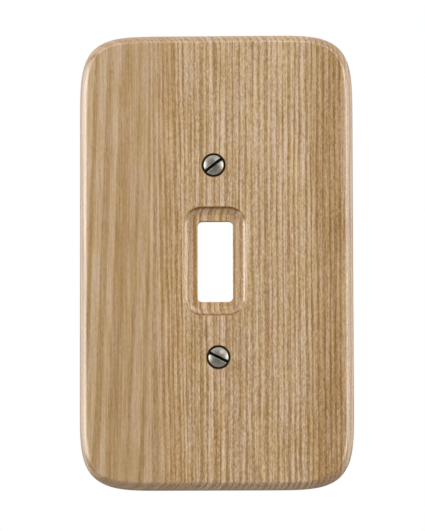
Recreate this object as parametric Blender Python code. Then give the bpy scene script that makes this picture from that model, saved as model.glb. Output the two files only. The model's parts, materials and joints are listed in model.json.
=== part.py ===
"""Solid wood wall plate for one toggle switch, with its two slotted oval-head screws.

Metres, +Z up. The plate hangs upright: its front faces -Y, its back rim lies in the plane Y = 0
against the wall, and the origin is the centre of that back plane. Each screw is its own object,
with its origin on the axis that it turns about.
"""
import math

import bmesh
import bpy
from mathutils import Matrix, Vector

INCH = 0.0254
GAP = 0.0003  # clear space kept between a screw and the wood around it
OVERCUT = 0.001  # how far a cutter runs past the face that it opens

# Plate: 5 5/8 x 3 3/8 x 3/8 inch
PLATE_WIDTH = 3.375 * INCH
PLATE_HEIGHT = 5.625 * INCH
PLATE_THICKNESS = 0.375 * INCH
CORNER_REACH = 0.029  # how far each corner's curve runs along both sides
CORNER_EXPONENT = 4.4  # superellipse exponent of the corners, 2 would be a circle
CORNER_STEPS = 20

# The rounded front edge meets the flat face at a crisp arris instead of running out tangent to it
EDGE_RADIUS = 0.0042
EDGE_START = math.radians(25)
EDGE_STEPS = 8
BACK_EDGE_BREAK = 0.0004

# Toggle opening: 7/16 x 1 inch, in a coved recess
OPENING_WIDTH = 0.4375 * INCH
OPENING_HEIGHT = 1.0 * INCH
OPENING_CORNER = 0.0015
OPENING_OFFSET = -0.00035  # opening and recess are routed this far left of centre
OPENING_STEPS = 6
RECESS_DEPTH = 0.0022
RECESS_LEDGE = 0.0017  # flat ledge around the opening
RECESS_COVE = 0.0029  # width of the cove from the ledge up to the face
RECESS_STEPS = 6

# Space routed out of the back for the switch's mounting strap
HOLLOW_WIDTH = 0.064
HOLLOW_HEIGHT = 0.120
HOLLOW_DEPTH = 0.0044
HOLLOW_CORNER = 0.006
HOLLOW_STEPS = 6
HOLLOW_FILLET = 0.0008
HOLLOW_FILLET_STEPS = 3

# Screws: slotted oval head, 6-32 UNC x 3/4 inch, 82 degree cone
SCREW_SPACING = 2.375 * INCH
SCREW_OFFSET = 0.0007  # the upper hole is drilled this far left of centre, the lower one right
UPPER_SLOT_ANGLE = math.radians(38)  # anticlockwise from +X, seen from the front
LOWER_SLOT_ANGLE = math.radians(-27)
SCREW_LENGTH = 0.75 * INCH  # from the head's rim to the tip
HEAD_RADIUS = 0.0032
HEAD_RISE = 0.0011
HEAD_LAND = 0.0001
HEAD_SEGMENTS = 40
DOME_STEPS = 6
CONE_HALF_ANGLE = math.radians(41)
CONE_END_RADIUS = 0.0008  # where the cone stops, hidden inside the shank
SLOT_WIDTH = 0.0010
SLOT_DEPTH = 0.0014  # below the top of the dome
SEAT_HOLE_RADIUS = 0.00215
SEAT_SEGMENTS = 40

PITCH = INCH / 32
THREAD_RADIUS = 0.138 / 2 * INCH
THREAD_FLANK = 5 / 16  # share of the pitch along the axis, as are the next two
THREAD_CREST = 1 / 8
THREAD_ROOT = 1 / 4
ROOT_RADIUS = THREAD_RADIUS - THREAD_FLANK * PITCH / math.tan(math.radians(30))
THREAD_SEGMENTS = 16
THREAD_TURNS = 18
THREAD_FADE_TURNS = 1.0
TIP_CHAMFER = 0.0004
SHANK_TOP = -0.0018  # the shank runs up to here inside the head

WOOD_COLOUR = (0.515, 0.328, 0.171)
METAL_COLOUR = (0.305, 0.283, 0.235)


def clear_scene():
    for old in list(bpy.data.objects):
        bpy.data.objects.remove(old, do_unlink=True)


def principled(name, colour, metallic, roughness):
    material = bpy.data.materials.new(name)
    material.use_nodes = True
    shader = material.node_tree.nodes["Principled BSDF"]
    shader.inputs["Base Color"].default_value = (*colour, 1.0)
    shader.inputs["Metallic"].default_value = metallic
    shader.inputs["Roughness"].default_value = roughness
    material.diffuse_color = (*colour, 1.0)
    return material


def outline(half_width, half_height, reach, exponent, steps, inset=0.0):
    """Rounded rectangle in X and Z, anticlockwise, whose corners are superellipse quarters.

    reach is how far a corner's curve runs along both sides. inset moves each point inwards
    along its own normal.
    """
    points = []
    for quarter, (side_x, side_z) in enumerate(((1, 1), (-1, 1), (-1, -1), (1, -1))):
        turn = Matrix.Rotation(quarter * math.pi / 2, 2)
        centre = Vector((side_x * (half_width - reach), side_z * (half_height - reach)))
        for step in range(steps + 1):
            angle = step / steps * math.pi / 2
            direction = Vector((math.cos(angle), math.sin(angle)))
            stretch = (direction.x ** exponent + direction.y ** exponent) ** (-1 / exponent)
            corner = direction * reach * stretch
            normal = Vector((corner.x ** (exponent - 1), corner.y ** (exponent - 1))).normalized()
            points.append(centre + turn @ (corner - normal * inset))
    return points


def ring_at(points, y):
    return [(point.x, y, point.y) for point in points]


def circle(radius, z, segments):
    angles = [2 * math.pi * step / segments for step in range(segments)]
    return [(radius * math.cos(angle), radius * math.sin(angle), z) for angle in angles]


def loft(name, rings):
    """Closed smooth-shaded mesh through rings of equal length, capped at both ends."""
    bm = bmesh.new()
    loops = [[bm.verts.new(point) for point in ring] for ring in rings]
    for lower, upper in zip(loops, loops[1:]):
        for index in range(len(lower)):
            following = (index + 1) % len(lower)
            bm.faces.new((lower[index], lower[following], upper[following], upper[index]))
    bm.faces.new(loops[0][::-1])
    bm.faces.new(loops[-1])
    return finished_mesh(name, bm)


def finished_mesh(name, bm):
    bmesh.ops.recalc_face_normals(bm, faces=bm.faces)
    mesh = bpy.data.meshes.new(name)
    bm.to_mesh(mesh)
    bm.free()
    mesh.shade_smooth()
    mesh.set_sharp_from_angle(angle=math.radians(24))
    return mesh


def new_object(name, mesh, material=None):
    placed = bpy.data.objects.new(name, mesh)
    bpy.context.scene.collection.objects.link(placed)
    if material:
        mesh.materials.append(material)
    return placed


def new_cutter(name, mesh):
    """A shape that only cuts or joins another, and isn't a piece of the object."""
    cutter = new_object(name, mesh)
    cutter.hide_render = True
    cutter.display_type = "WIRE"
    return cutter


def add_boolean(target, cutter, operation):
    boolean = target.modifiers.new(cutter.name, "BOOLEAN")
    boolean.operation = operation
    boolean.object = cutter


def plate_blank():
    """The plate before anything is routed or drilled: face, rounded edge, side wall and back."""
    sections = []
    for step in range(EDGE_STEPS + 1):
        angle = EDGE_START + (math.pi / 2 - EDGE_START) * step / EDGE_STEPS
        depth = EDGE_RADIUS * (math.cos(EDGE_START) - math.cos(angle))
        sections.append((EDGE_RADIUS * (1 - math.sin(angle)), depth - PLATE_THICKNESS))
    sections.append((0.0, -BACK_EDGE_BREAK))
    sections.append((BACK_EDGE_BREAK, 0.0))
    rings = []
    for inset, y in sections:
        points = outline(PLATE_WIDTH / 2, PLATE_HEIGHT / 2, CORNER_REACH, CORNER_EXPONENT,
                         CORNER_STEPS, inset)
        rings.append(ring_at(points, y))
    return loft("wall_plate", rings)


def opening_cutter():
    """Cove, flat ledge and toggle opening in one cutter: offsets of the opening's own outline."""
    face = -PLATE_THICKNESS
    sections = [(RECESS_LEDGE + RECESS_COVE + GAP, face - OVERCUT)]
    for step in range(1, RECESS_STEPS + 1):
        angle = step / RECESS_STEPS * math.pi / 2
        spread = RECESS_LEDGE + RECESS_COVE * math.cos(angle)
        sections.append((spread, face + RECESS_DEPTH * math.sin(angle)))
    sections.append((0.0, face + RECESS_DEPTH))
    sections.append((0.0, OVERCUT - HOLLOW_DEPTH))
    rings = []
    for spread, y in sections:
        points = outline(OPENING_WIDTH / 2 + spread, OPENING_HEIGHT / 2 + spread,
                         OPENING_CORNER + spread, 2, OPENING_STEPS)
        rings.append(ring_at(points, y))
    cutter = new_cutter("opening_cutter", loft("opening_cutter", rings))
    cutter.location.x = OPENING_OFFSET
    return cutter


def hollow_cutter():
    """The pocket routed into the back, with a small fillet where its wall meets its floor."""
    sections = [(0.0, OVERCUT)]
    for step in range(HOLLOW_FILLET_STEPS + 1):
        angle = step / HOLLOW_FILLET_STEPS * math.pi / 2
        inset = HOLLOW_FILLET * (1 - math.cos(angle))
        sections.append((inset, HOLLOW_FILLET * (1 - math.sin(angle)) - HOLLOW_DEPTH))
    rings = []
    for inset, y in sections:
        points = outline(HOLLOW_WIDTH / 2, HOLLOW_HEIGHT / 2, HOLLOW_CORNER, 2, HOLLOW_STEPS, inset)
        rings.append(ring_at(points, y))
    return new_cutter("hollow_cutter", loft("hollow_cutter", rings))


def seat_mesh():
    """Countersunk clearance hole for one screw, axis on Z, with the plate's face at Z = 0."""
    slope = math.tan(CONE_HALF_ANGLE)
    mouth_radius = HEAD_RADIUS + HEAD_LAND * slope + GAP / math.cos(CONE_HALF_ANGLE)
    cone_end = -(mouth_radius - SEAT_HOLE_RADIUS) / slope
    sections = (
        (mouth_radius + OVERCUT * slope, OVERCUT),
        (SEAT_HOLE_RADIUS, cone_end),
        (SEAT_HOLE_RADIUS, HOLLOW_DEPTH - PLATE_THICKNESS - OVERCUT),
    )
    return loft("screw_seat", [circle(radius, z, SEAT_SEGMENTS) for radius, z in sections])


def head_mesh():
    """Oval head: a shallow dome, a thin land at the rim and an 82 degree cone, rim at Z = 0."""
    dome_radius = (HEAD_RADIUS ** 2 + HEAD_RISE ** 2) / (2 * HEAD_RISE)
    dome_angle = math.asin(HEAD_RADIUS / dome_radius)
    rings = []
    for step in range(1, DOME_STEPS + 1):
        angle = dome_angle * step / DOME_STEPS
        z = HEAD_RISE - dome_radius * (1 - math.cos(angle))
        rings.append(circle(dome_radius * math.sin(angle), z, HEAD_SEGMENTS))
    rings.append(circle(HEAD_RADIUS, -HEAD_LAND, HEAD_SEGMENTS))
    cone_depth = (HEAD_RADIUS - CONE_END_RADIUS) / math.tan(CONE_HALF_ANGLE)
    rings.append(circle(CONE_END_RADIUS, -HEAD_LAND - cone_depth, HEAD_SEGMENTS))
    return loft("oval_head", rings)


def shank_mesh():
    """Threaded shank: a right-hand helix of root, flank, crest and flank, axis on Z.

    The thread fades in and out over THREAD_FADE_TURNS, so that both of its ends lie on the
    root cylinder. There they join a plain collar: a chamfered tip below, the neck above.
    """
    bm = bmesh.new()
    steps = THREAD_TURNS * THREAD_SEGMENTS
    fade_steps = THREAD_FADE_TURNS * THREAD_SEGMENTS
    collar_bottom = -SCREW_LENGTH + TIP_CHAMFER
    thread_bottom = collar_bottom + TIP_CHAMFER

    def vertex(step, z, radius):
        angle = 2 * math.pi * step / THREAD_SEGMENTS
        return bm.verts.new((radius * math.cos(angle), radius * math.sin(angle), z))

    def thread_line(height, share, count):
        line = []
        for step in range(count):
            fade = max(0.0, min(1.0, step / fade_steps, (steps - step) / fade_steps))
            radius = ROOT_RADIUS + (THREAD_RADIUS - ROOT_RADIUS) * share * fade
            z = thread_bottom + PITCH * (step / THREAD_SEGMENTS + height)
            line.append(vertex(step, z, radius))
        return line

    root_start = thread_line(0.0, 0.0, steps + THREAD_SEGMENTS + 1)
    root_end = thread_line(THREAD_ROOT, 0.0, steps + 1)
    crest_start = thread_line(THREAD_ROOT + THREAD_FLANK, 1.0, steps + 1)
    crest_end = thread_line(THREAD_ROOT + THREAD_FLANK + THREAD_CREST, 1.0, steps + 1)
    lines = [root_start, root_end, crest_start, crest_end, root_start[THREAD_SEGMENTS:]]
    for lower, upper in zip(lines, lines[1:]):
        for step in range(steps):
            bm.faces.new((lower[step], lower[step + 1], upper[step + 1], upper[step]))

    base = [vertex(step, collar_bottom, ROOT_RADIUS) for step in range(THREAD_SEGMENTS)]
    for step in range(THREAD_SEGMENTS - 1):
        bm.faces.new((base[step], base[step + 1], root_start[step + 1], root_start[step]))
    seam = [line[0] for line in lines]
    bm.faces.new([base[-1], base[0], *seam, root_start[THREAD_SEGMENTS - 1]])

    last_turn = root_start[steps:]
    crown = [vertex(steps + step, SHANK_TOP, ROOT_RADIUS) for step in range(THREAD_SEGMENTS)]
    for step in range(1, THREAD_SEGMENTS):
        following = crown[(step + 1) % THREAD_SEGMENTS]
        bm.faces.new((last_turn[step], last_turn[step + 1], following, crown[step]))
    seam = [line[steps] for line in lines]
    bm.faces.new([seam[0], last_turn[1], crown[1], crown[0], *seam[:0:-1]])
    bm.faces.new(crown)

    tip_radius = ROOT_RADIUS - TIP_CHAMFER
    tip = [vertex(step, -SCREW_LENGTH, tip_radius) for step in range(THREAD_SEGMENTS)]
    for step in range(THREAD_SEGMENTS):
        following = (step + 1) % THREAD_SEGMENTS
        bm.faces.new((tip[step], tip[following], base[following], base[step]))
    bm.faces.new(tip[::-1])
    return finished_mesh("threaded_shank", bm)


def slot_mesh():
    """Screwdriver slot along X, open at both ends of the head."""
    half_length = HEAD_RADIUS + OVERCUT
    floor = HEAD_RISE - SLOT_DEPTH
    rings = []
    for z in (floor, HEAD_RISE + OVERCUT):
        rings.append([
            (half_length, SLOT_WIDTH / 2, z),
            (-half_length, SLOT_WIDTH / 2, z),
            (-half_length, -SLOT_WIDTH / 2, z),
            (half_length, -SLOT_WIDTH / 2, z),
        ])
    return loft("screwdriver_slot", rings)


def build_plate(wood, screw_places):
    plate = new_object("wall_plate", plate_blank(), wood)
    cutters = [hollow_cutter(), opening_cutter()]
    for name, place in screw_places.items():
        seat = new_cutter(name + "_seat_cutter", seat_mesh())
        seat.matrix_world = place
        cutters.append(seat)
    for cutter in cutters:
        add_boolean(plate, cutter, "DIFFERENCE")


def build_screw(name, place, metal):
    screw = new_object(name, head_mesh(), metal)
    shank = new_cutter(name + "_shank_shape", shank_mesh())
    slot = new_cutter(name + "_slot_cutter", slot_mesh())
    for shape in (screw, shank, slot):
        shape.matrix_world = place
    add_boolean(screw, shank, "UNION")
    add_boolean(screw, slot, "DIFFERENCE")


def screw_place(side, slot_angle):
    """Where a screw stands: its rim in the plate's face, its dome towards -Y."""
    location = Vector((-side * SCREW_OFFSET, -PLATE_THICKNESS, side * SCREW_SPACING / 2))
    facing = Matrix.Rotation(math.pi / 2, 4, "X")
    return Matrix.Translation(location) @ facing @ Matrix.Rotation(slot_angle, 4, "Z")


def main():
    clear_scene()
    wood = principled("wood", WOOD_COLOUR, 0.0, 0.45)
    metal = principled("antique_nickel", METAL_COLOUR, 1.0, 0.35)
    screw_places = {
        "upper_screw": screw_place(1, UPPER_SLOT_ANGLE),
        "lower_screw": screw_place(-1, LOWER_SLOT_ANGLE),
    }
    build_plate(wood, screw_places)
    for name, place in screw_places.items():
        build_screw(name, place, metal)


main()
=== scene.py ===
"""Looks of a solid ash wall plate for one toggle switch, with its two antique nickel screws.

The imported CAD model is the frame: metres, +Z up, the plate's face towards -Y and its back in the
plane Y = 0. The finely shaped plate and screws made here replace the CAD nodes of the same parts.
Inside the materials, lengths are in millimetres of the piece's own coordinates.
"""
import json
import math

import bmesh
import bpy
from mathutils import Matrix, Vector


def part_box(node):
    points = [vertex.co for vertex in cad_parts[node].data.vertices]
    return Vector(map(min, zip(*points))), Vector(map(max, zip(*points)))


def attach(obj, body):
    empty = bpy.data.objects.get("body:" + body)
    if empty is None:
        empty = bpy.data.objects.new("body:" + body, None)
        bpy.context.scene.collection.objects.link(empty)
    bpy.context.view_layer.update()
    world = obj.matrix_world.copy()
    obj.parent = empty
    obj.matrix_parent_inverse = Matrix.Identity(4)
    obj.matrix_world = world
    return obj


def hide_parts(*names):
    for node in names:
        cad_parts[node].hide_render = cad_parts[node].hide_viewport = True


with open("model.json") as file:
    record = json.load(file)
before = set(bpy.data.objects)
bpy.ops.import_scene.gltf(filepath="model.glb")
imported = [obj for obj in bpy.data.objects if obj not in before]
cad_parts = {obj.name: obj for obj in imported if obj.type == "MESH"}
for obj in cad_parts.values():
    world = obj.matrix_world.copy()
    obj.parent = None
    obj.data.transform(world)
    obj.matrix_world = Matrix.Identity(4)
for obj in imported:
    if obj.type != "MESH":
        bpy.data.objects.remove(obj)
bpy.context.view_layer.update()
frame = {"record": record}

MM = 0.001
INCH = 0.0254

PLATE_LOW, PLATE_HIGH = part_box("wall_plate")
PLATE_WIDTH = PLATE_HIGH.x - PLATE_LOW.x
PLATE_HEIGHT = PLATE_HIGH.z - PLATE_LOW.z
PLATE_THICKNESS = PLATE_HIGH.y - PLATE_LOW.y
FACE = PLATE_LOW.y
CORNER_REACH = 0.029  # how far each corner's curve runs along both sides
CORNER_EXPONENT = 4.4  # superellipse exponent of the corners, 2 would be a circle
CORNER_STEPS = 44

# The rounded front edge meets the flat face at an arris that sanding has only just softened
EDGE_RADIUS = 0.0042
EDGE_START = math.radians(25)
EDGE_STEPS = 20
ARRIS_RADIUS = 0.0003
ARRIS_STEPS = 5
BACK_EDGE_RADIUS = 0.0004
MARGIN = 0.0002  # flat strip beside each rounding, which keeps the shading of the flat itself flat

OPENING_WIDTH = 0.4375 * INCH
OPENING_HEIGHT = 1.0 * INCH
OPENING_CORNER = 0.0015
OPENING_OFFSET = -0.00035  # opening and recess are routed this far left of centre
OPENING_STEPS = 16
RECESS_DEPTH = 0.0022
RECESS_LEDGE = 0.0017
RECESS_COVE = 0.0026
RECESS_STEPS = 20
RECESS_ARRIS = 0.00035
COVE_END = math.radians(74)  # the cove stops short of level, which leaves a crease at the ledge

HOLLOW_WIDTH = 0.064
HOLLOW_HEIGHT = 0.120
HOLLOW_DEPTH = 0.0044
HOLLOW_CORNER = 0.006
HOLLOW_STEPS = 12
HOLLOW_FILLET = 0.0008
SMALL_BREAK = 0.00015  # sanded edges around the hollow and the holes
ROUNDING_STEPS = 4
PLATE_SHARP = math.radians(35)  # edges that turn by more than this are shaded as sharp
SCREW_SHARP = math.radians(24)

# Screws: slotted oval head, 6-32 UNC x 3/4 inch, 82 degree cone
SLOT_ANGLES = {"upper_screw": math.radians(38), "lower_screw": math.radians(-27)}
SCREW_LENGTH = 0.75 * INCH
HEAD_RADIUS = 0.0032
HEAD_RISE = 0.0011
HEAD_LAND = 0.0001
HEAD_SEGMENTS = 96
DOME_RADIUS = (HEAD_RADIUS ** 2 + HEAD_RISE ** 2) / (2 * HEAD_RISE)
DOME_STEPS = 16
RIM_BREAK = 0.00006
CONE_HALF_ANGLE = math.radians(41)
CONE_END_RADIUS = 0.0008  # where the cone stops, hidden inside the shank
SEAT_GAP = 0.0003
SEAT_HOLE_RADIUS = 0.00215
SLOT_WIDTH = 0.00100
SLOT_DEPTH = 0.0014
SLOT_BREAK = 0.00018
SLOT_STEPS = 24
OVERCUT = 0.0005

PITCH = INCH / 32
THREAD_RADIUS = 0.138 / 2 * INCH
THREAD_FLANK = 5 / 16  # share of the pitch along the axis, as are the next two
THREAD_CREST = 1 / 8
THREAD_ROOT = 1 / 4
ROOT_RADIUS = THREAD_RADIUS - THREAD_FLANK * PITCH / math.tan(math.radians(30))
THREAD_SEGMENTS = 36
THREAD_TURNS = 18
THREAD_FADE_TURNS = 1.0
TIP_CHAMFER = 0.0004
SHANK_TOP = -0.0018

# Wood, with lengths in millimetres. The tree's heart was in front of the plate's left side, so the
# rings lie almost flat there and run steeper to the right. Ring widths are as they show on the
# face, from each X onwards.
HEART_X = -60.0
HEART_DISTANCE = 48.0
RING_WIDTHS = ((-45.0, 4.7), (-21.5, 1.95), (-15.5, 1.5), (-5.0, 2.05), (16.0, 1.8))
RING_LEANS = (0.036, -0.020)  # mm to the right for each mm upwards, on the left and past it
LEAN_CHANGE = (-25.0, -16.0)  # X where the first lean turns into the second
LEAN_END = (-14.0, -4.0)  # X where the rings stop leaning
RING_UNEVENNESS = 0.8  # years
SPRING_SHARE = 0.35  # of a ring, on average, and it varies by up to half of this either way
FLAT_SAWN = (-22.0, -9.0)  # X where the flat-sawn left of the plate gives way to the rest
HEARTWOOD = (28.0, 31.5)  # X where the darker band on the right begins
GOLDEN_START = (-19.0, -16.0)  # X where a golden band begins and ends
GOLDEN_END = (-12.0, -9.0)
STREAK_X = -3.4  # a short brown streak below the recess
STREAK_SIDE = (0.25, 0.7)  # distances from its middle over which it fades
STREAK_TOP = (-17.0, -19.0)  # Z where it begins and ends
STREAK_BOTTOM = (-27.0, -22.0)
OPENING_CORE = (5.0, 12.0)  # half the width and height of a rectangle within the opening
ROUTED_REACH = (6.0, 7.0)  # how far past OPENING_CORE the recess's painted shade and light may go
ROUTED_DEPTH = (0.0, 0.15)  # below the face
SEAT_SHADOW_REACH = (3.60, 3.95)  # distances from a screw's axis at which the painted shadow around each seat ends
SEAT_SHADOW_DEPTH = (2.0, 2.5)

# Layers of noise in the wood: waves per mm across and along the grain, detail and roughness
LAYERS = {
    "fibres": (2.4, 0.06, 3.0, 0.6),
    "streaks": (2.0, 0.04, 1.0, 0.5),
    "dashes": (3.0, 1.0, 2.0, 0.6),
    "pores": (3.0, 0.42, 1.0, 0.5),
    "clouds": (0.09, 0.02, 2.0, 0.5),
    "patches": (0.3, 0.05, 1.0, 0.5),
    "hues": (0.5, 0.06, 2.0, 0.5),
    "heartwood": (0.08, 0.012, 1.0, 0.5),
}
# Layers that bend the rings, each with its amplitude in mm
WARPS = (
    (1.0, (0.05, 0.018, 1.0, 0.5)),
    (0.6, (0.25, 0.06, 2.0, 0.5)),
    (0.3, (0.9, 0.25, 2.0, 0.5)),
)

# How much each feature adds to the wood's tone, which runs from 0, dark, to 1, pale. Pairs are
# for most of the plate and for its flat-sawn left.
BASE_TONE = (0.30, 0.34)
SUMMERWOOD_TONE = (0.40, 0.20)
FIBRES_TONE = (1.2, 0.8)
STREAKS_TONE = (0.9, 0.5)
DASHES_TONE = (1.6, 0.5)
CLOUDS_TONE = 0.2
PORES_TONE = -0.2
FIRST_LINE_TONE = -0.18
LUCK_TONE = 0.06
TOP_LIGHT_TONE = 0.0007  # per mm upwards: painted light, the wood paler towards the top

GRAIN_COLOURS = (
    (0.00, (0.372, 0.202, 0.065)),
    (0.25, (0.485, 0.297, 0.137)),
    (0.50, (0.602, 0.404, 0.232)),
    (0.75, (0.722, 0.523, 0.353)),
    (1.00, (0.845, 0.651, 0.488)),
)
# Tints, which multiply the grain's colour
GOLDEN_HUE = (0.97, 0.94, 0.75)
HEARTWOOD_TINT = (0.84, 0.77, 0.65)
GOLDEN_TINT = (0.97, 0.92, 0.83)
STREAK_TINT = (0.72, 0.58, 0.42)
# Painted shade on the cut edges, which turn away from the front light
EDGE_SHADE_TINT = (0.75, 0.70, 0.64)
# Painted shade in the recess's coves
COVE_SHADE_TINT = (0.93, 0.88, 0.80)
# Painted light on the recess's flat ledge
LEDGE_LIGHT_TINT = (1.10, 1.05, 0.96)
# Deeper painted shade on the recess's top and bottom coves, most where they are steep
COVE_ENDS_SHADE_TINT = (0.92, 0.82, 0.68)
STEEP_ENDS_SHADE_TINT = (0.56, 0.41, 0.22)
# Painted shadow in the gaps around the screw heads
SEAT_SHADOW_TINT = (0.10, 0.055, 0.025)

GRAIN_RELIEF = 0.00001  # bump heights in metres, of the wood and of the clear coat over it
COAT_RELIEF = 0.000012

# Nickel, with lengths in millimetres
METAL_COLOURS = (
    (0.0, (0.185, 0.170, 0.137)),
    (0.5, (0.350, 0.328, 0.277)),
    (1.0, (0.540, 0.512, 0.450)),
)
# Bare metal on the slot's worn lips, made bright enough to serve as a painted highlight
LIP_WEAR_AND_HIGHLIGHT_COLOUR = (0.85, 0.82, 0.76)
PLATING_COLOUR = (0.038, 0.027, 0.018)
LIP_DEPTHS = ((0.02, 0.06), (0.15, 0.19))  # below the dome, where the slot's lips are worn bare and carry a painted highlight
PLATING_DEPTHS = (0.20, 0.28)  # below the dome, where the dark plating begins
PLATED_RIM = (2.96, 3.14)  # distances from the screw's axis
SCRATCH_RELIEF = 0.00003  # bump height in metres

# Light tent. A level of 1 is the backdrop's white. Pairs go from the side nearest the front.
LEFT_WALL = (2.9, 7.2)
LEFT_WALL_FADE = 0.55
RIGHT_WALL = (10.0, 2.4)
FRONT_BELOW = 0.37
FRONT_ABOVE = 0.465
FRONT_MIDDLE = 0.08  # share of the front's light that is left straight in front
CEILING = 0.9
GROUND = 0.45
BACK = 1.8
BACK_BELOW = 0.15  # shares of the back's light that are left below, above and straight behind
BACK_ABOVE = 0.1
BACK_MIDDLE = 0.2

LAMP_SIDE = 28.0  # degrees to the right of the plate's front
LAMP_HEIGHT = 38.0  # degrees upwards
LAMP_DISTANCE = 1.3
LAMP_SIZE = 0.45
LAMP_RADIANCE = 3.8

FLOOR_Z = -0.40
FLOOR_SIZE = 8.0
FLOOR_COLOUR = 0.92

CAMERA_PITCH = math.radians(5.2)  # looking up
CAMERA_YAW = math.radians(-2.1)  # looking slightly left
CAMERA_ROLL = math.radians(-0.12)
CAMERA_DISTANCE = 1.2
CAMERA_LENS = 260.3
CAMERA_SENSOR = 36.0
CAMERA_CLIP = (0.05, 50.0)
CAMERA_AIM = Vector((-0.0011, FACE, -0.00144))

# Sockets of a Mix node that mixes colours
MIX_FACTOR, MIX_A, MIX_B, MIX_RESULT = 0, 6, 7, 2


# ---------------------------------------------------------------- mesh tools

def outline(half_width, half_height, reach, exponent, steps, inset=0.0):
    """Rounded rectangle in X and Z, anticlockwise, whose corners are superellipse quarters.

    reach is how far a corner's curve runs along both sides. inset moves each point inwards
    along its own normal.
    """
    points = []
    for quarter, (side_x, side_z) in enumerate(((1, 1), (-1, 1), (-1, -1), (1, -1))):
        turn = Matrix.Rotation(quarter * math.pi / 2, 2)
        centre = Vector((side_x * (half_width - reach), side_z * (half_height - reach)))
        for step in range(steps + 1):
            angle = step / steps * math.pi / 2
            direction = Vector((math.cos(angle), math.sin(angle)))
            stretch = (direction.x ** exponent + direction.y ** exponent) ** (-1 / exponent)
            corner = direction * reach * stretch
            normal = Vector((corner.x ** (exponent - 1), corner.y ** (exponent - 1))).normalized()
            points.append(centre + turn @ (corner - normal * inset))
    return points


def circle_points(radius, segments):
    angles = [2 * math.pi * step / segments for step in range(segments)]
    return [Vector((radius * math.cos(angle), radius * math.sin(angle))) for angle in angles]


def arc(radius, start, end, steps):
    """Offsets (sideways, down) from an arc's first point, for a surface whose slope grows
    from start to end."""
    offsets = []
    for step in range(1, steps + 1):
        angle = start + (end - start) * step / steps
        sideways = radius * (math.sin(angle) - math.sin(start))
        down = radius * (math.cos(start) - math.cos(angle))
        offsets.append((sideways, down))
    return offsets


def add_loop(bm, points, y):
    return [bm.verts.new((point.x, y, point.y)) for point in points]


def bridge(bm, lower, upper):
    for index in range(len(lower)):
        following = (index + 1) % len(lower)
        bm.faces.new((lower[index], lower[following], upper[following], upper[index]))


def bridge_all(bm, loops):
    """Joins neighbouring loops and returns the first and the last one."""
    for lower, upper in zip(loops, loops[1:]):
        bridge(bm, lower, upper)
    return loops[0], loops[-1]


def fill_flat(bm, loops, normal):
    """Fills the flat area between an outer loop and the holes in it."""
    edges = []
    for loop in loops:
        for index, vert in enumerate(loop):
            edges.append(bm.edges.get((vert, loop[(index + 1) % len(loop)])))
    bmesh.ops.triangle_fill(bm, edges=edges, use_beauty=True, normal=normal)


def finished_mesh(name, bm, sharp_angle):
    bmesh.ops.recalc_face_normals(bm, faces=bm.faces)
    mesh = bpy.data.meshes.new(name)
    bm.to_mesh(mesh)
    bm.free()
    mesh.shade_smooth()
    mesh.set_sharp_from_angle(angle=sharp_angle)
    return mesh


def new_object(name, mesh):
    placed = bpy.data.objects.new(name, mesh)
    bpy.context.scene.collection.objects.link(placed)
    return placed


# ---------------------------------------------------------------- plate

def plate_rim_loops(bm):
    """From the face over the arris and the rounded edge, down the side and round to the back."""
    arris_in = ARRIS_RADIUS * math.sin(EDGE_START)
    edge_in = EDGE_RADIUS * (1 - math.sin(EDGE_START))
    inset = edge_in + arris_in
    depth = 0.0
    sections = [(inset + MARGIN, depth), (inset, depth)]
    arcs = (
        (ARRIS_RADIUS, 0.0, EDGE_START, ARRIS_STEPS),
        (EDGE_RADIUS, EDGE_START, math.pi / 2, EDGE_STEPS),
    )
    for radius, start, end, steps in arcs:
        for sideways, down in arc(radius, start, end, steps):
            sections.append((inset - sideways, depth + down))
        inset, depth = sections[-1]
    sections.append((0.0, PLATE_THICKNESS - BACK_EDGE_RADIUS - MARGIN))
    for step in range(ROUNDING_STEPS + 1):
        angle = step / ROUNDING_STEPS * math.pi / 2
        sections.append((
            BACK_EDGE_RADIUS * (1 - math.cos(angle)),
            PLATE_THICKNESS - BACK_EDGE_RADIUS * (1 - math.sin(angle)),
        ))
    sections.append((BACK_EDGE_RADIUS + MARGIN, PLATE_THICKNESS))
    loops = []
    for inset, depth in sections:
        points = outline(PLATE_WIDTH / 2, PLATE_HEIGHT / 2, CORNER_REACH, CORNER_EXPONENT,
                         CORNER_STEPS, inset)
        loops.append(add_loop(bm, points, FACE + depth))
    return loops


def recess_sections():
    """(spread, depth) from the face down the cove and ledge to the hollow behind the opening."""
    mouth = RECESS_LEDGE + RECESS_COVE
    sections = [(mouth + RECESS_ARRIS + MARGIN, 0.0), (mouth + RECESS_ARRIS, 0.0)]
    for sideways, down in arc(RECESS_ARRIS, 0.0, math.pi / 2, ARRIS_STEPS):
        sections.append((mouth + RECESS_ARRIS - sideways, down))
    rise = RECESS_DEPTH - RECESS_ARRIS
    bottom = math.sin(COVE_END)
    for step in range(1, RECESS_STEPS + 1):
        angle = step / RECESS_STEPS * COVE_END
        across = (1 - math.cos(angle)) / (1 - math.cos(COVE_END))
        sections.append((mouth - RECESS_COVE * across, RECESS_ARRIS + rise * math.sin(angle) / bottom))
    sections.append((SMALL_BREAK + MARGIN, RECESS_DEPTH))
    for sideways, down in [(0.0, 0.0)] + arc(SMALL_BREAK, 0.0, math.pi / 2, ROUNDING_STEPS):
        sections.append((SMALL_BREAK - sideways, RECESS_DEPTH + down))
    return sections + through_end(0.0, -1)


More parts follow.
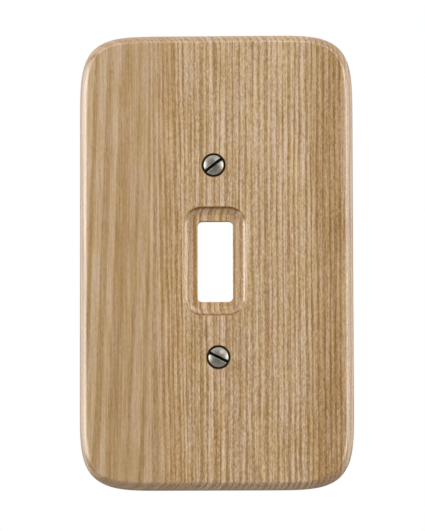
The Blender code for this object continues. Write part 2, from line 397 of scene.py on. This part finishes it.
def through_end(edge, side):
    """Last sections of a hole, where it breaks out into the hollow with a small rounding.

    side is 1 where a growing size opens the hole and the wall lies outside it, else -1.
    """
    floor = PLATE_THICKNESS - HOLLOW_DEPTH
    sections = [(edge, floor - SMALL_BREAK - MARGIN)]
    for step in range(ROUNDING_STEPS + 1):
        angle = step / ROUNDING_STEPS * math.pi / 2
        spread = SMALL_BREAK * (1 - math.cos(angle))
        sections.append((edge + spread, floor - SMALL_BREAK * (1 - math.sin(angle))))
    sections.append((edge + SMALL_BREAK + MARGIN, floor))
    return sections


def recess_loops(bm):
    loops = []
    for spread, depth in recess_sections():
        points = outline(OPENING_WIDTH / 2 + spread, OPENING_HEIGHT / 2 + spread,
                         OPENING_CORNER + spread, 2, OPENING_STEPS)
        shifted = [point + Vector((OPENING_OFFSET, 0.0)) for point in points]
        loops.append(add_loop(bm, shifted, FACE + depth))
    return loops


def seat_loops(bm, axis):
    """Countersunk clearance hole for one screw, from the face to the hollow."""
    slope = math.tan(CONE_HALF_ANGLE)
    mouth = HEAD_RADIUS + HEAD_LAND * slope + SEAT_GAP / math.cos(CONE_HALF_ANGLE)
    cone_depth = (mouth - SEAT_HOLE_RADIUS) / slope
    sections = [(mouth + MARGIN, 0.0), (mouth + SMALL_BREAK / 2, 0.0), (mouth, SMALL_BREAK / 2)]
    sections.append((SEAT_HOLE_RADIUS, cone_depth))
    sections += through_end(SEAT_HOLE_RADIUS, 1)
    loops = []
    for radius, depth in sections:
        points = [axis + point for point in circle_points(radius, HEAD_SEGMENTS)]
        loops.append(add_loop(bm, points, FACE + depth))
    return loops


def hollow_loops(bm):
    """The pocket routed into the back, from the rim to the pocket's floor."""
    floor = PLATE_THICKNESS - HOLLOW_DEPTH
    sections = [(-SMALL_BREAK - MARGIN, PLATE_THICKNESS)]
    for step in range(ROUNDING_STEPS + 1):
        angle = step / ROUNDING_STEPS * math.pi / 2
        sections.append((
            -SMALL_BREAK * (1 - math.sin(angle)),
            PLATE_THICKNESS - SMALL_BREAK * (1 - math.cos(angle)),
        ))
    for step in range(ROUNDING_STEPS + 1):
        angle = step / ROUNDING_STEPS * math.pi / 2
        sections.append((
            HOLLOW_FILLET * (1 - math.cos(angle)),
            floor + HOLLOW_FILLET * (1 - math.sin(angle)),
        ))
    sections.append((HOLLOW_FILLET + MARGIN, floor))
    loops = []
    for inset, depth in sections:
        points = outline(HOLLOW_WIDTH / 2, HOLLOW_HEIGHT / 2, HOLLOW_CORNER, 2, HOLLOW_STEPS, inset)
        loops.append(add_loop(bm, points, FACE + depth))
    return loops


def plate_mesh(axes):
    bm = bmesh.new()
    face_rim, back_rim = bridge_all(bm, plate_rim_loops(bm))
    back_hollow, floor_hollow = bridge_all(bm, hollow_loops(bm))
    face_holes = []
    floor_holes = []
    for loops in [recess_loops(bm)] + [seat_loops(bm, axis) for axis in axes]:
        face_hole, floor_hole = bridge_all(bm, loops)
        face_holes.append(face_hole)
        floor_holes.append(floor_hole)
    fill_flat(bm, [face_rim] + face_holes, Vector((0.0, -1.0, 0.0)))
    fill_flat(bm, [back_rim, back_hollow], Vector((0.0, 1.0, 0.0)))
    fill_flat(bm, [floor_hollow] + floor_holes, Vector((0.0, 1.0, 0.0)))
    return finished_mesh("ash_plate", bm, PLATE_SHARP)


# ---------------------------------------------------------------- screws

def loft(name, rings):
    """Closed mesh through rings of equal length, capped at both ends."""
    bm = bmesh.new()
    loops = [[bm.verts.new(point) for point in ring] for ring in rings]
    bridge_all(bm, loops)
    bm.faces.new(loops[0][::-1])
    bm.faces.new(loops[-1])
    return finished_mesh(name, bm, SCREW_SHARP)


def dome_height(distance):
    """Height of the dome's surface above the rim at a distance from the screw's axis."""
    return HEAD_RISE - DOME_RADIUS + math.sqrt(DOME_RADIUS ** 2 - distance ** 2)


def head_mesh():
    """Oval head: a shallow dome, a thin land at the rim and an 82 degree cone, rim at Z = 0."""
    edge = HEAD_RADIUS - RIM_BREAK
    sections = [(edge * step / DOME_STEPS, dome_height(edge * step / DOME_STEPS))
                for step in range(1, DOME_STEPS + 1)]
    sections.append((HEAD_RADIUS, dome_height(edge) - RIM_BREAK))
    sections.append((HEAD_RADIUS, -HEAD_LAND))
    cone_depth = (HEAD_RADIUS - CONE_END_RADIUS) / math.tan(CONE_HALF_ANGLE)
    sections.append((CONE_END_RADIUS, -HEAD_LAND - cone_depth))
    rings = []
    for radius, z in sections:
        rings.append([(point.x, point.y, z) for point in circle_points(radius, HEAD_SEGMENTS)])
    return loft("oval_head", rings)


def slot_mesh():
    """Cutter for the screwdriver slot along X, whose broken edges follow the dome."""
    half = SLOT_WIDTH / 2
    floor = HEAD_RISE - SLOT_DEPTH
    reach = HEAD_RADIUS + OVERCUT
    rings = []
    for step in range(SLOT_STEPS + 1):
        x = reach * (2 * step / SLOT_STEPS - 1)
        edge = dome_height(min(math.hypot(x, half), HEAD_RADIUS))
        side = (
            (half + SLOT_BREAK + OVERCUT, edge + OVERCUT),
            (half, edge - SLOT_BREAK),
            (half, floor),
        )
        right = [(x, y, z) for y, z in side]
        left = [(x, -y, z) for y, z in reversed(side)]
        rings.append(right + left)
    return loft("screwdriver_slot", rings)


def shank_mesh():
    """Threaded shank: a right-hand helix of root, flank, crest and flank, axis on Z.

    The thread fades in and out over THREAD_FADE_TURNS, so that both of its ends lie on the
    root cylinder. There they join a plain collar: a chamfered tip below, the neck above.
    """
    bm = bmesh.new()
    steps = THREAD_TURNS * THREAD_SEGMENTS
    fade_steps = THREAD_FADE_TURNS * THREAD_SEGMENTS
    collar_bottom = -SCREW_LENGTH + TIP_CHAMFER
    thread_bottom = collar_bottom + TIP_CHAMFER

    def vertex(step, z, radius):
        angle = 2 * math.pi * step / THREAD_SEGMENTS
        return bm.verts.new((radius * math.cos(angle), radius * math.sin(angle), z))

    def thread_line(height, share, count):
        line = []
        for step in range(count):
            fade = max(0.0, min(1.0, step / fade_steps, (steps - step) / fade_steps))
            radius = ROOT_RADIUS + (THREAD_RADIUS - ROOT_RADIUS) * share * fade
            z = thread_bottom + PITCH * (step / THREAD_SEGMENTS + height)
            line.append(vertex(step, z, radius))
        return line

    root_start = thread_line(0.0, 0.0, steps + THREAD_SEGMENTS + 1)
    root_end = thread_line(THREAD_ROOT, 0.0, steps + 1)
    crest_start = thread_line(THREAD_ROOT + THREAD_FLANK, 1.0, steps + 1)
    crest_end = thread_line(THREAD_ROOT + THREAD_FLANK + THREAD_CREST, 1.0, steps + 1)
    lines = [root_start, root_end, crest_start, crest_end, root_start[THREAD_SEGMENTS:]]
    for lower, upper in zip(lines, lines[1:]):
        for step in range(steps):
            bm.faces.new((lower[step], lower[step + 1], upper[step + 1], upper[step]))

    base = [vertex(step, collar_bottom, ROOT_RADIUS) for step in range(THREAD_SEGMENTS)]
    for step in range(THREAD_SEGMENTS - 1):
        bm.faces.new((base[step], base[step + 1], root_start[step + 1], root_start[step]))
    seam = [line[0] for line in lines]
    bm.faces.new([base[-1], base[0], *seam, root_start[THREAD_SEGMENTS - 1]])

    last_turn = root_start[steps:]
    crown = [vertex(steps + step, SHANK_TOP, ROOT_RADIUS) for step in range(THREAD_SEGMENTS)]
    for step in range(1, THREAD_SEGMENTS):
        following = crown[(step + 1) % THREAD_SEGMENTS]
        bm.faces.new((last_turn[step], last_turn[step + 1], following, crown[step]))
    seam = [line[steps] for line in lines]
    bm.faces.new([seam[0], last_turn[1], crown[1], crown[0], *seam[:0:-1]])
    bm.faces.new(crown)

    tip_radius = ROOT_RADIUS - TIP_CHAMFER
    tip = [vertex(step, -SCREW_LENGTH, tip_radius) for step in range(THREAD_SEGMENTS)]
    for step in range(THREAD_SEGMENTS):
        following = (step + 1) % THREAD_SEGMENTS
        bm.faces.new((tip[step], tip[following], base[following], base[step]))
    bm.faces.new(tip[::-1])
    return finished_mesh("threaded_shank", bm, SCREW_SHARP)


def screw_mesh():
    """Head and shank joined and slotted, as one mesh without modifiers."""
    screw = new_object("screw", head_mesh())
    helpers = []
    for mesh, operation in ((shank_mesh(), "UNION"), (slot_mesh(), "DIFFERENCE")):
        helper = new_object(mesh.name, mesh)
        boolean = screw.modifiers.new(helper.name, "BOOLEAN")
        boolean.operation = operation
        boolean.object = helper
        helpers.append(helper)
    depsgraph = bpy.context.evaluated_depsgraph_get()
    mesh = bpy.data.meshes.new_from_object(screw.evaluated_get(depsgraph))
    mesh.name = "slotted_screw"
    for helper in [screw] + helpers:
        bpy.data.objects.remove(helper, do_unlink=True)
    mesh.shade_smooth()
    mesh.set_sharp_from_angle(angle=SCREW_SHARP)
    return mesh


# ---------------------------------------------------------------- materials

class Value:
    """A number that varies over a surface. Arithmetic on it adds maths nodes."""

    def __init__(self, graph, socket):
        self.graph = graph
        self.socket = socket

    def __add__(self, other):
        return self.graph.maths("ADD", self, other)

    __radd__ = __add__

    def __sub__(self, other):
        return self.graph.maths("SUBTRACT", self, other)

    def __rsub__(self, other):
        return self.graph.maths("SUBTRACT", other, self)

    def __mul__(self, other):
        return self.graph.maths("MULTIPLY", self, other)

    __rmul__ = __mul__


class Graph:
    """Adds nodes to one material or world. A Value stands for an output, a plain number or
    colour for a fixed input."""

    def __init__(self, owner):
        owner.use_nodes = True
        self.tree = owner.node_tree

    def plug(self, socket, value):
        if isinstance(value, Value):
            self.tree.links.new(value.socket, socket)
        else:
            socket.default_value = value

    def node(self, kind, inputs, **settings):
        node = self.tree.nodes.new(kind)
        for name, setting in settings.items():
            setattr(node, name, setting)
        for name, value in inputs.items():
            self.plug(node.inputs[name], value)
        return node

    def maths(self, operation, *values):
        node = self.node("ShaderNodeMath", dict(enumerate(values)), operation=operation)
        return Value(self, node.outputs[0])

    def distance(self, first, second):
        return self.maths("SQRT", first * first + second * second)

    def over(self, value, edge):
        """How far value is past edge, or zero."""
        return self.maths("MAXIMUM", value - edge, 0.0)

    def ease(self, value, start, end, first=0.0, last=1.0):
        """Goes smoothly from first, where value is start, to last, where it is end."""
        inputs = {"Value": value, "From Min": start, "From Max": end, "To Min": first, "To Max": last}
        node = self.node("ShaderNodeMapRange", inputs, interpolation_type="SMOOTHSTEP")
        return Value(self, node.outputs[0])

    def vector(self, x, y, z):
        node = self.node("ShaderNodeCombineXYZ", {"X": x, "Y": y, "Z": z})
        return Value(self, node.outputs[0])

    def split(self, vector):
        node = self.node("ShaderNodeSeparateXYZ", {0: vector})
        return [Value(self, output) for output in node.outputs]

    def coordinates(self, output):
        node = self.node("ShaderNodeTexCoord", {})
        return Value(self, node.outputs[output])

    def noise(self, vector, stretch, detail=2.0, roughness=0.5, distortion=0.0):
        """Noise around zero, mostly within a half either way. stretch counts its waves per unit."""
        scaled = self.node("ShaderNodeVectorMath", {0: vector, 1: stretch}, operation="MULTIPLY")
        inputs = {"Vector": Value(self, scaled.outputs[0]), "Scale": 1.0, "Detail": detail,
                  "Roughness": roughness, "Distortion": distortion}
        node = self.node("ShaderNodeTexNoise", inputs)
        return Value(self, node.outputs[0]) - 0.5

    def chance(self, value):
        """A random number around zero that stays the same while value does."""
        node = self.node("ShaderNodeTexWhiteNoise", {"W": value}, noise_dimensions="1D")
        return Value(self, node.outputs[0]) - 0.5

    def ramp(self, value, stops):
        node = self.node("ShaderNodeValToRGB", {0: value})
        elements = node.color_ramp.elements
        while len(elements) < len(stops):
            elements.new(1.0)
        for element, (position, colour) in zip(elements, stops):
            element.position = position
            element.color = (*colour, 1.0)
        return Value(self, node.outputs[0])

    def mix(self, factor, first, second, blend="MIX"):
        """Goes from the colour of first to the fixed colour second, as factor goes from 0 to 1."""
        inputs = {MIX_FACTOR: factor, MIX_A: first, MIX_B: (*second, 1.0)}
        node = self.node("ShaderNodeMix", inputs, data_type="RGBA", blend_type=blend)
        return Value(self, node.outputs[MIX_RESULT])

    def tint(self, factor, colour, tint):
        """Multiplies colour by tint where factor is 1, and by less of it where it is less."""
        return self.mix(factor, colour, tint, "MULTIPLY")

    def millimetres(self):
        """The place in the piece's own coordinates, in millimetres."""
        inputs = {0: self.coordinates("Object"), 1: grey(1 / MM)}
        scaled = self.node("ShaderNodeVectorMath", inputs, operation="MULTIPLY")
        return Value(self, scaled.outputs[0])

    def bump(self, height, distance):
        inputs = {"Height": height, "Distance": distance, "Strength": 1.0}
        return Value(self, self.node("ShaderNodeBump", inputs).outputs[0])

    def set_surface(self, **inputs):
        shader = self.tree.nodes["Principled BSDF"]
        for name, value in inputs.items():
            self.plug(shader.inputs[name.replace("_", " ")], value)


def grey(level):
    return (level, level, level)


def grain_noise(graph, place, layer):
    across, along, detail, roughness = layer
    return graph.noise(place, (across, across, along), detail, roughness)


def ring_position(graph, place, x, z, depth):
    """X where the growth ring through this point would meet the face at mid-height."""
    from_heart = x - HEART_X
    to_ring = from_heart * from_heart + depth * (depth + 2 * HEART_DISTANCE)
    ring_x = graph.maths("SQRT", to_ring) + HEART_X
    lean = graph.ease(ring_x, *LEAN_CHANGE, *RING_LEANS) * graph.ease(ring_x, *LEAN_END, 1.0, 0.0)
    ring_x = ring_x - lean * z
    for amplitude, layer in WARPS:
        ring_x = ring_x + amplitude * grain_noise(graph, place, layer)
    return ring_x


def growth(graph, ring_x):
    """Years of growth between the start of RING_WIDTHS and the place ring_x on the face."""
    years = 0.0
    per_mm = 0.0
    for start, width in RING_WIDTHS:
        years = years + graph.over(ring_x, start) * (1 / width - per_mm)
        per_mm = 1 / width
    return years


def grain_tone(graph, layers, ring_x, x, z):
    """How pale the wood is. Springwood is darker and full of pores, summerwood pale and dense."""
    years = growth(graph, ring_x)
    uneven = graph.noise(graph.vector(years, 0.0, 0.0), (0.6, 0.0, 0.0), 0.0)
    years = years + RING_UNEVENNESS * uneven
    year = graph.maths("FLOOR", years)
    season = graph.maths("FRACT", years)
    luck = graph.chance(year)
    other_luck = graph.chance(year + 0.5)
    flat_sawn = graph.ease(x, *FLAT_SAWN, 1.0, 0.0)

    def by_sawing(pair):
        most, flat = pair
        return most + (flat - most) * flat_sawn

    spring_end = SPRING_SHARE + SPRING_SHARE * luck
    pale = graph.ease(season - spring_end, -0.15, 0.15) * graph.ease(season, 0.86, 1.0, 1.0, 0.0)
    first_line = graph.ease(season, 0.10, 0.25, 1.0, 0.0) * graph.ease(other_luck, 0.2, 0.9)
    strength = (by_sawing(SUMMERWOOD_TONE) + 0.2 * other_luck) * (1.0 + 0.9 * layers["patches"])

    tone = by_sawing(BASE_TONE) + strength * pale + FIRST_LINE_TONE * first_line
    # Painted light: the tone grows paler towards the top of the plate
    tone = tone + LUCK_TONE * luck + TOP_LIGHT_TONE * z
    tone = tone + by_sawing(FIBRES_TONE) * layers["fibres"]
    tone = tone + by_sawing(STREAKS_TONE) * layers["streaks"]
    tone = tone + by_sawing(DASHES_TONE) * layers["dashes"]
    tone = tone + CLOUDS_TONE * layers["clouds"]
    return tone + PORES_TONE * layers["pores"] * (1.0 - 0.6 * pale)


def face_colour(graph, layers, ring_x, x, z):
    """Colour of the wood inside the block, with a golden band, a darker one and a brown streak."""
    colour = graph.ramp(grain_tone(graph, layers, ring_x, x, z), GRAIN_COLOURS)
    colour = graph.tint(graph.ease(layers["hues"], -0.2, 0.2), colour, GOLDEN_HUE)
    heartwood = graph.ease(x + 3.0 * layers["heartwood"], *HEARTWOOD)
    colour = graph.tint(heartwood, colour, HEARTWOOD_TINT)
    golden = graph.ease(ring_x, *GOLDEN_START) * graph.ease(ring_x, *GOLDEN_END, 1.0, 0.0)
    colour = graph.tint(golden, colour, GOLDEN_TINT)
    from_streak = graph.maths("ABSOLUTE", x - STREAK_X + 0.5 * layers["fibres"])
    streak = graph.ease(from_streak, *STREAK_SIDE, 1.0, 0.0)
    streak = streak * graph.ease(z, *STREAK_TOP) * graph.ease(z, *STREAK_BOTTOM)
    return graph.tint(0.6 * streak, colour, STREAK_TINT)


def cut_colour_with_painted_shading(graph, colour, routed, end_grain, normal_y, normal_z):
    """Painted shade: cut edges darker than the face and the routed recess browner still, with painted
    light on its ledge.
    """
    # Painted shade on the edges that turn away from the face, outside the recess
    edges = graph.ease(normal_y, 0.80, 0.93, 1.0, 0.0)
    colour = graph.tint(edges * (1.0 - routed), colour, EDGE_SHADE_TINT)
    ledge = graph.ease(normal_y, 0.965, 0.998)
    # Painted shade in the recess's coves
    colour = graph.tint(routed * (1.0 - ledge), colour, COVE_SHADE_TINT)
    # Painted light on the recess's flat ledge
    colour = graph.tint(routed * ledge, colour, LEDGE_LIGHT_TINT)
    # Deeper painted shade on the recess's top and bottom coves, darkest where they are steep
    colour = graph.tint(routed * end_grain, colour, COVE_ENDS_SHADE_TINT)
    steep = graph.ease(normal_z, 0.40, 0.95)
    return graph.tint(routed * steep, colour, STEEP_ENDS_SHADE_TINT)


def wood_material(screw_axes):
    """Clear-coated light ash, as one solid block of grain that the plate is cut from."""
    material = bpy.data.materials.new("ash_wood")
    graph = Graph(material)
    place = graph.millimetres()
    x, y, z = graph.split(place)
    depth = y - FACE / MM
    layers = {name: grain_noise(graph, place, layer) for name, layer in LAYERS.items()}
    layers["pores"] = graph.ease(layers["pores"], 0.08, 0.22)
    ring_x = ring_position(graph, place, x, z, depth)
    colour = face_colour(graph, layers, ring_x, x, z)

    # Sizes of the normal's parts, without their signs
    normal = graph.split(graph.coordinates("Normal"))
    normal_y, normal_z = [graph.maths("ABSOLUTE", part) for part in normal[1:]]
    end_grain = graph.ease(normal_z, 0.35, 0.80)
    past_sides, past_ends = [graph.over(graph.maths("ABSOLUTE", value), core)
                             for value, core in zip((x, z), OPENING_CORE)]
    past_opening = graph.distance(past_sides, past_ends)
    routed = graph.ease(past_opening, *ROUTED_REACH, 1.0, 0.0) * graph.ease(depth, *ROUTED_DEPTH)
    colour = cut_colour_with_painted_shading(graph, colour, routed, end_grain, normal_y, normal_z)

    # Painted shadow in the gap around each screw head, fading just outside its seat
    for axis in screw_axes:
        away = graph.distance(x - axis.x / MM, z - axis.y / MM)
        seat_shadow = graph.ease(away, *SEAT_SHADOW_REACH, 1.0, 0.0) * graph.ease(depth, *SEAT_SHADOW_DEPTH, 1.0, 0.0)
        colour = graph.tint(seat_shadow, colour, SEAT_SHADOW_TINT)

    height = 0.5 * layers["dashes"] + 0.4 * layers["fibres"] - 0.8 * layers["pores"]
    graph.set_surface(
        Base_Color=colour,
        Roughness=0.5,
        Normal=graph.bump(height, GRAIN_RELIEF),
        Coat_Weight=1.0 - (0.5 + 0.35 * routed) * end_grain,
        Coat_Roughness=0.18,
        Coat_IOR=1.6,
        Coat_Normal=graph.bump(height, COAT_RELIEF),
    )
    return material


def nickel_material():
    """Antique nickel: dark plating that is worn back to the metal over the dome."""
    material = bpy.data.materials.new("antique_nickel_plate")
    graph = Graph(material)
    place = graph.millimetres()
    x, y, z = graph.split(place)
    dome_centre = (HEAD_RISE - DOME_RADIUS) / MM
    across = graph.distance(x, y)
    below_dome = DOME_RADIUS / MM - graph.distance(across, z - dome_centre)
    mottle = graph.noise(place, grey(1.6), 3.0, 0.6)
    scratches = graph.noise(place, (1.2, 9.0, 1.2), 3.0, 0.6, 0.3)
    on_head = graph.ease(z, -3.0, -2.0)
    plating = graph.ease(below_dome + 0.04 * mottle, *PLATING_DEPTHS) * (0.35 + 0.65 * on_head)
    rim = graph.ease(across + 0.2 * mottle, *PLATED_RIM) * on_head * 0.85
    dark = graph.maths("MAXIMUM", plating, rim)
    metal = graph.ramp(0.5 + 0.7 * mottle + 0.6 * scratches, METAL_COLOURS)
    # The slot's lips: partly worn bare metal, partly a painted highlight
    lip_start, lip_end = LIP_DEPTHS
    lip_wear_and_highlight = graph.ease(below_dome, *lip_start) * graph.ease(below_dome, *lip_end, 1.0, 0.0)
    metal = graph.mix(lip_wear_and_highlight, metal, LIP_WEAR_AND_HIGHLIGHT_COLOUR)
    graph.set_surface(
        Base_Color=graph.mix(dark, metal, PLATING_COLOUR),
        Metallic=1.0,
        Roughness=0.36 + 0.3 * mottle + 0.2 * dark,
        Normal=graph.bump(0.5 * scratches + 0.5 * mottle, SCRATCH_RELIEF),
    )
    return material


# ---------------------------------------------------------------- pieces

def screw_axis(name):
    """X and Z of the axis that a screw turns about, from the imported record."""
    joints = frame["record"]["behaviour"]["joints"]
    position = next(joint["pos_m"] for joint in joints if joint["child"] == name)
    return Vector((position[0], position[2]))


def make_plate(axes):
    plate = new_object("ash_plate", plate_mesh(axes))
    plate.data.materials.append(wood_material(axes))
    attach(plate, "plate")
    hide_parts("wall_plate")


def make_screws(axes):
    mesh = screw_mesh()
    mesh.materials.append(nickel_material())
    for (name, slot_angle), axis in zip(SLOT_ANGLES.items(), axes):
        screw = new_object(name + "_nickel", mesh)
        location = Matrix.Translation(Vector((axis.x, FACE, axis.y)))
        facing = Matrix.Rotation(math.pi / 2, 4, "X")
        screw.matrix_world = location @ facing @ Matrix.Rotation(slot_angle, 4, "Z")
        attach(screw, name)
        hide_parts(name)


# ---------------------------------------------------------------- studio

def make_floor():
    material = bpy.data.materials.new("pale_floor")
    Graph(material).set_surface(Base_Color=(*grey(FLOOR_COLOUR), 1.0), Roughness=0.9)
    bm = bmesh.new()
    bmesh.ops.create_grid(bm, x_segments=1, y_segments=1, size=FLOOR_SIZE / 2)
    mesh = bpy.data.meshes.new("floor")
    bm.to_mesh(mesh)
    bm.free()
    mesh.materials.append(material)
    floor = new_object("floor", mesh)
    floor.location.z = FLOOR_Z
    floor.visible_diffuse = False
    floor.visible_glossy = False


def tent_level(graph, x, y, z):
    """Light from the direction (x, y, z), where y = -1 is straight in front of the plate."""
    left_level = graph.ease(y, -0.52, -0.30, *LEFT_WALL) * graph.ease(y, -0.35, -0.05, 1.0, LEFT_WALL_FADE)
    right_level = graph.ease(y, -0.5, -0.3, *RIGHT_WALL)
    left = graph.ease(x, -0.1, 0.1, 1.0, 0.0)
    walls = graph.ease(z, -0.38, -0.05) * graph.ease(z, 0.2, 0.6, 1.0, 0.0)
    walls = walls * graph.ease(y, -0.55, -0.48) * graph.ease(y, 0.0, 0.3, 1.0, 0.0)
    front = graph.ease(y, -0.98, -0.90, FRONT_MIDDLE, 1.0) * graph.ease(y, 0.0, -0.3)
    front = front * graph.ease(z, -0.8, 0.1, FRONT_BELOW, FRONT_ABOVE)
    ceiling = graph.ease(z, 0.4, 0.7) * graph.ease(y, -0.65, -0.4)
    ground = graph.ease(z, -0.35, -0.85) * graph.ease(y, -0.8, -0.3)
    back = graph.ease(y, 0.0, 0.35) * graph.ease(y, 0.5, 0.85, 1.0, BACK_MIDDLE)
    back = back * graph.ease(z, -0.6, -0.2, BACK_BELOW, 1.0) * graph.ease(z, 0.25, 0.6, 1.0, BACK_ABOVE)
    level = front + walls * (right_level + left * (left_level - right_level))
    return level + CEILING * ceiling + GROUND * ground + BACK * back


def make_world():
    """A light tent with bright side walls, whose backdrop always looks white to the camera."""
    world = bpy.data.worlds.new("studio")
    bpy.context.scene.world = world
    graph = Graph(world)
    level = tent_level(graph, *graph.split(graph.coordinates("Generated")))
    seen = Value(graph, graph.node("ShaderNodeLightPath", {}).outputs["Is Camera Ray"])
    background = graph.tree.nodes["Background"]
    background.inputs["Color"].default_value = (1.0, 1.0, 1.0, 1.0)
    graph.plug(background.inputs["Strength"], graph.maths("MAXIMUM", level, seen))


def make_lamp():
    """A square softbox up to the right of the plate, aimed at its face."""
    light = bpy.data.lights.new("lamp", "AREA")
    light.shape = "SQUARE"
    light.size = LAMP_SIZE
    light.energy = LAMP_RADIANCE * math.pi * LAMP_SIZE ** 2
    lamp = bpy.data.objects.new("lamp", light)
    bpy.context.scene.collection.objects.link(lamp)
    turn = math.radians(LAMP_SIDE)
    lift = math.radians(LAMP_HEIGHT)
    towards = Vector((math.sin(turn) * math.cos(lift), -math.cos(turn) * math.cos(lift), math.sin(lift)))
    lamp.location = Vector((0.0, FACE, 0.0)) + towards * LAMP_DISTANCE
    lamp.rotation_mode = "QUATERNION"
    lamp.rotation_quaternion = towards.to_track_quat("Z", "Y")
    lamp.visible_camera = False


def make_camera():
    camera = bpy.data.objects.new("camera", bpy.data.cameras.new("camera"))
    bpy.context.scene.collection.objects.link(camera)
    camera.data.sensor_width = CAMERA_SENSOR
    camera.data.lens = CAMERA_LENS
    camera.data.clip_start, camera.data.clip_end = CAMERA_CLIP
    forward = Vector((
        math.sin(CAMERA_YAW) * math.cos(CAMERA_PITCH),
        math.cos(CAMERA_YAW) * math.cos(CAMERA_PITCH),
        math.sin(CAMERA_PITCH),
    ))
    camera.location = CAMERA_AIM - forward * CAMERA_DISTANCE
    camera.rotation_mode = "QUATERNION"
    level = forward.to_track_quat("-Z", "Y")
    camera.rotation_quaternion = level @ Matrix.Rotation(CAMERA_ROLL, 3, "Z").to_quaternion()
    bpy.context.scene.camera = camera


def main():
    bpy.context.scene.view_settings.view_transform = "Standard"
    make_camera()
    axes = [screw_axis(name) for name in SLOT_ANGLES]
    make_plate(axes)
    make_screws(axes)
    make_floor()
    make_world()
    make_lamp()


main()
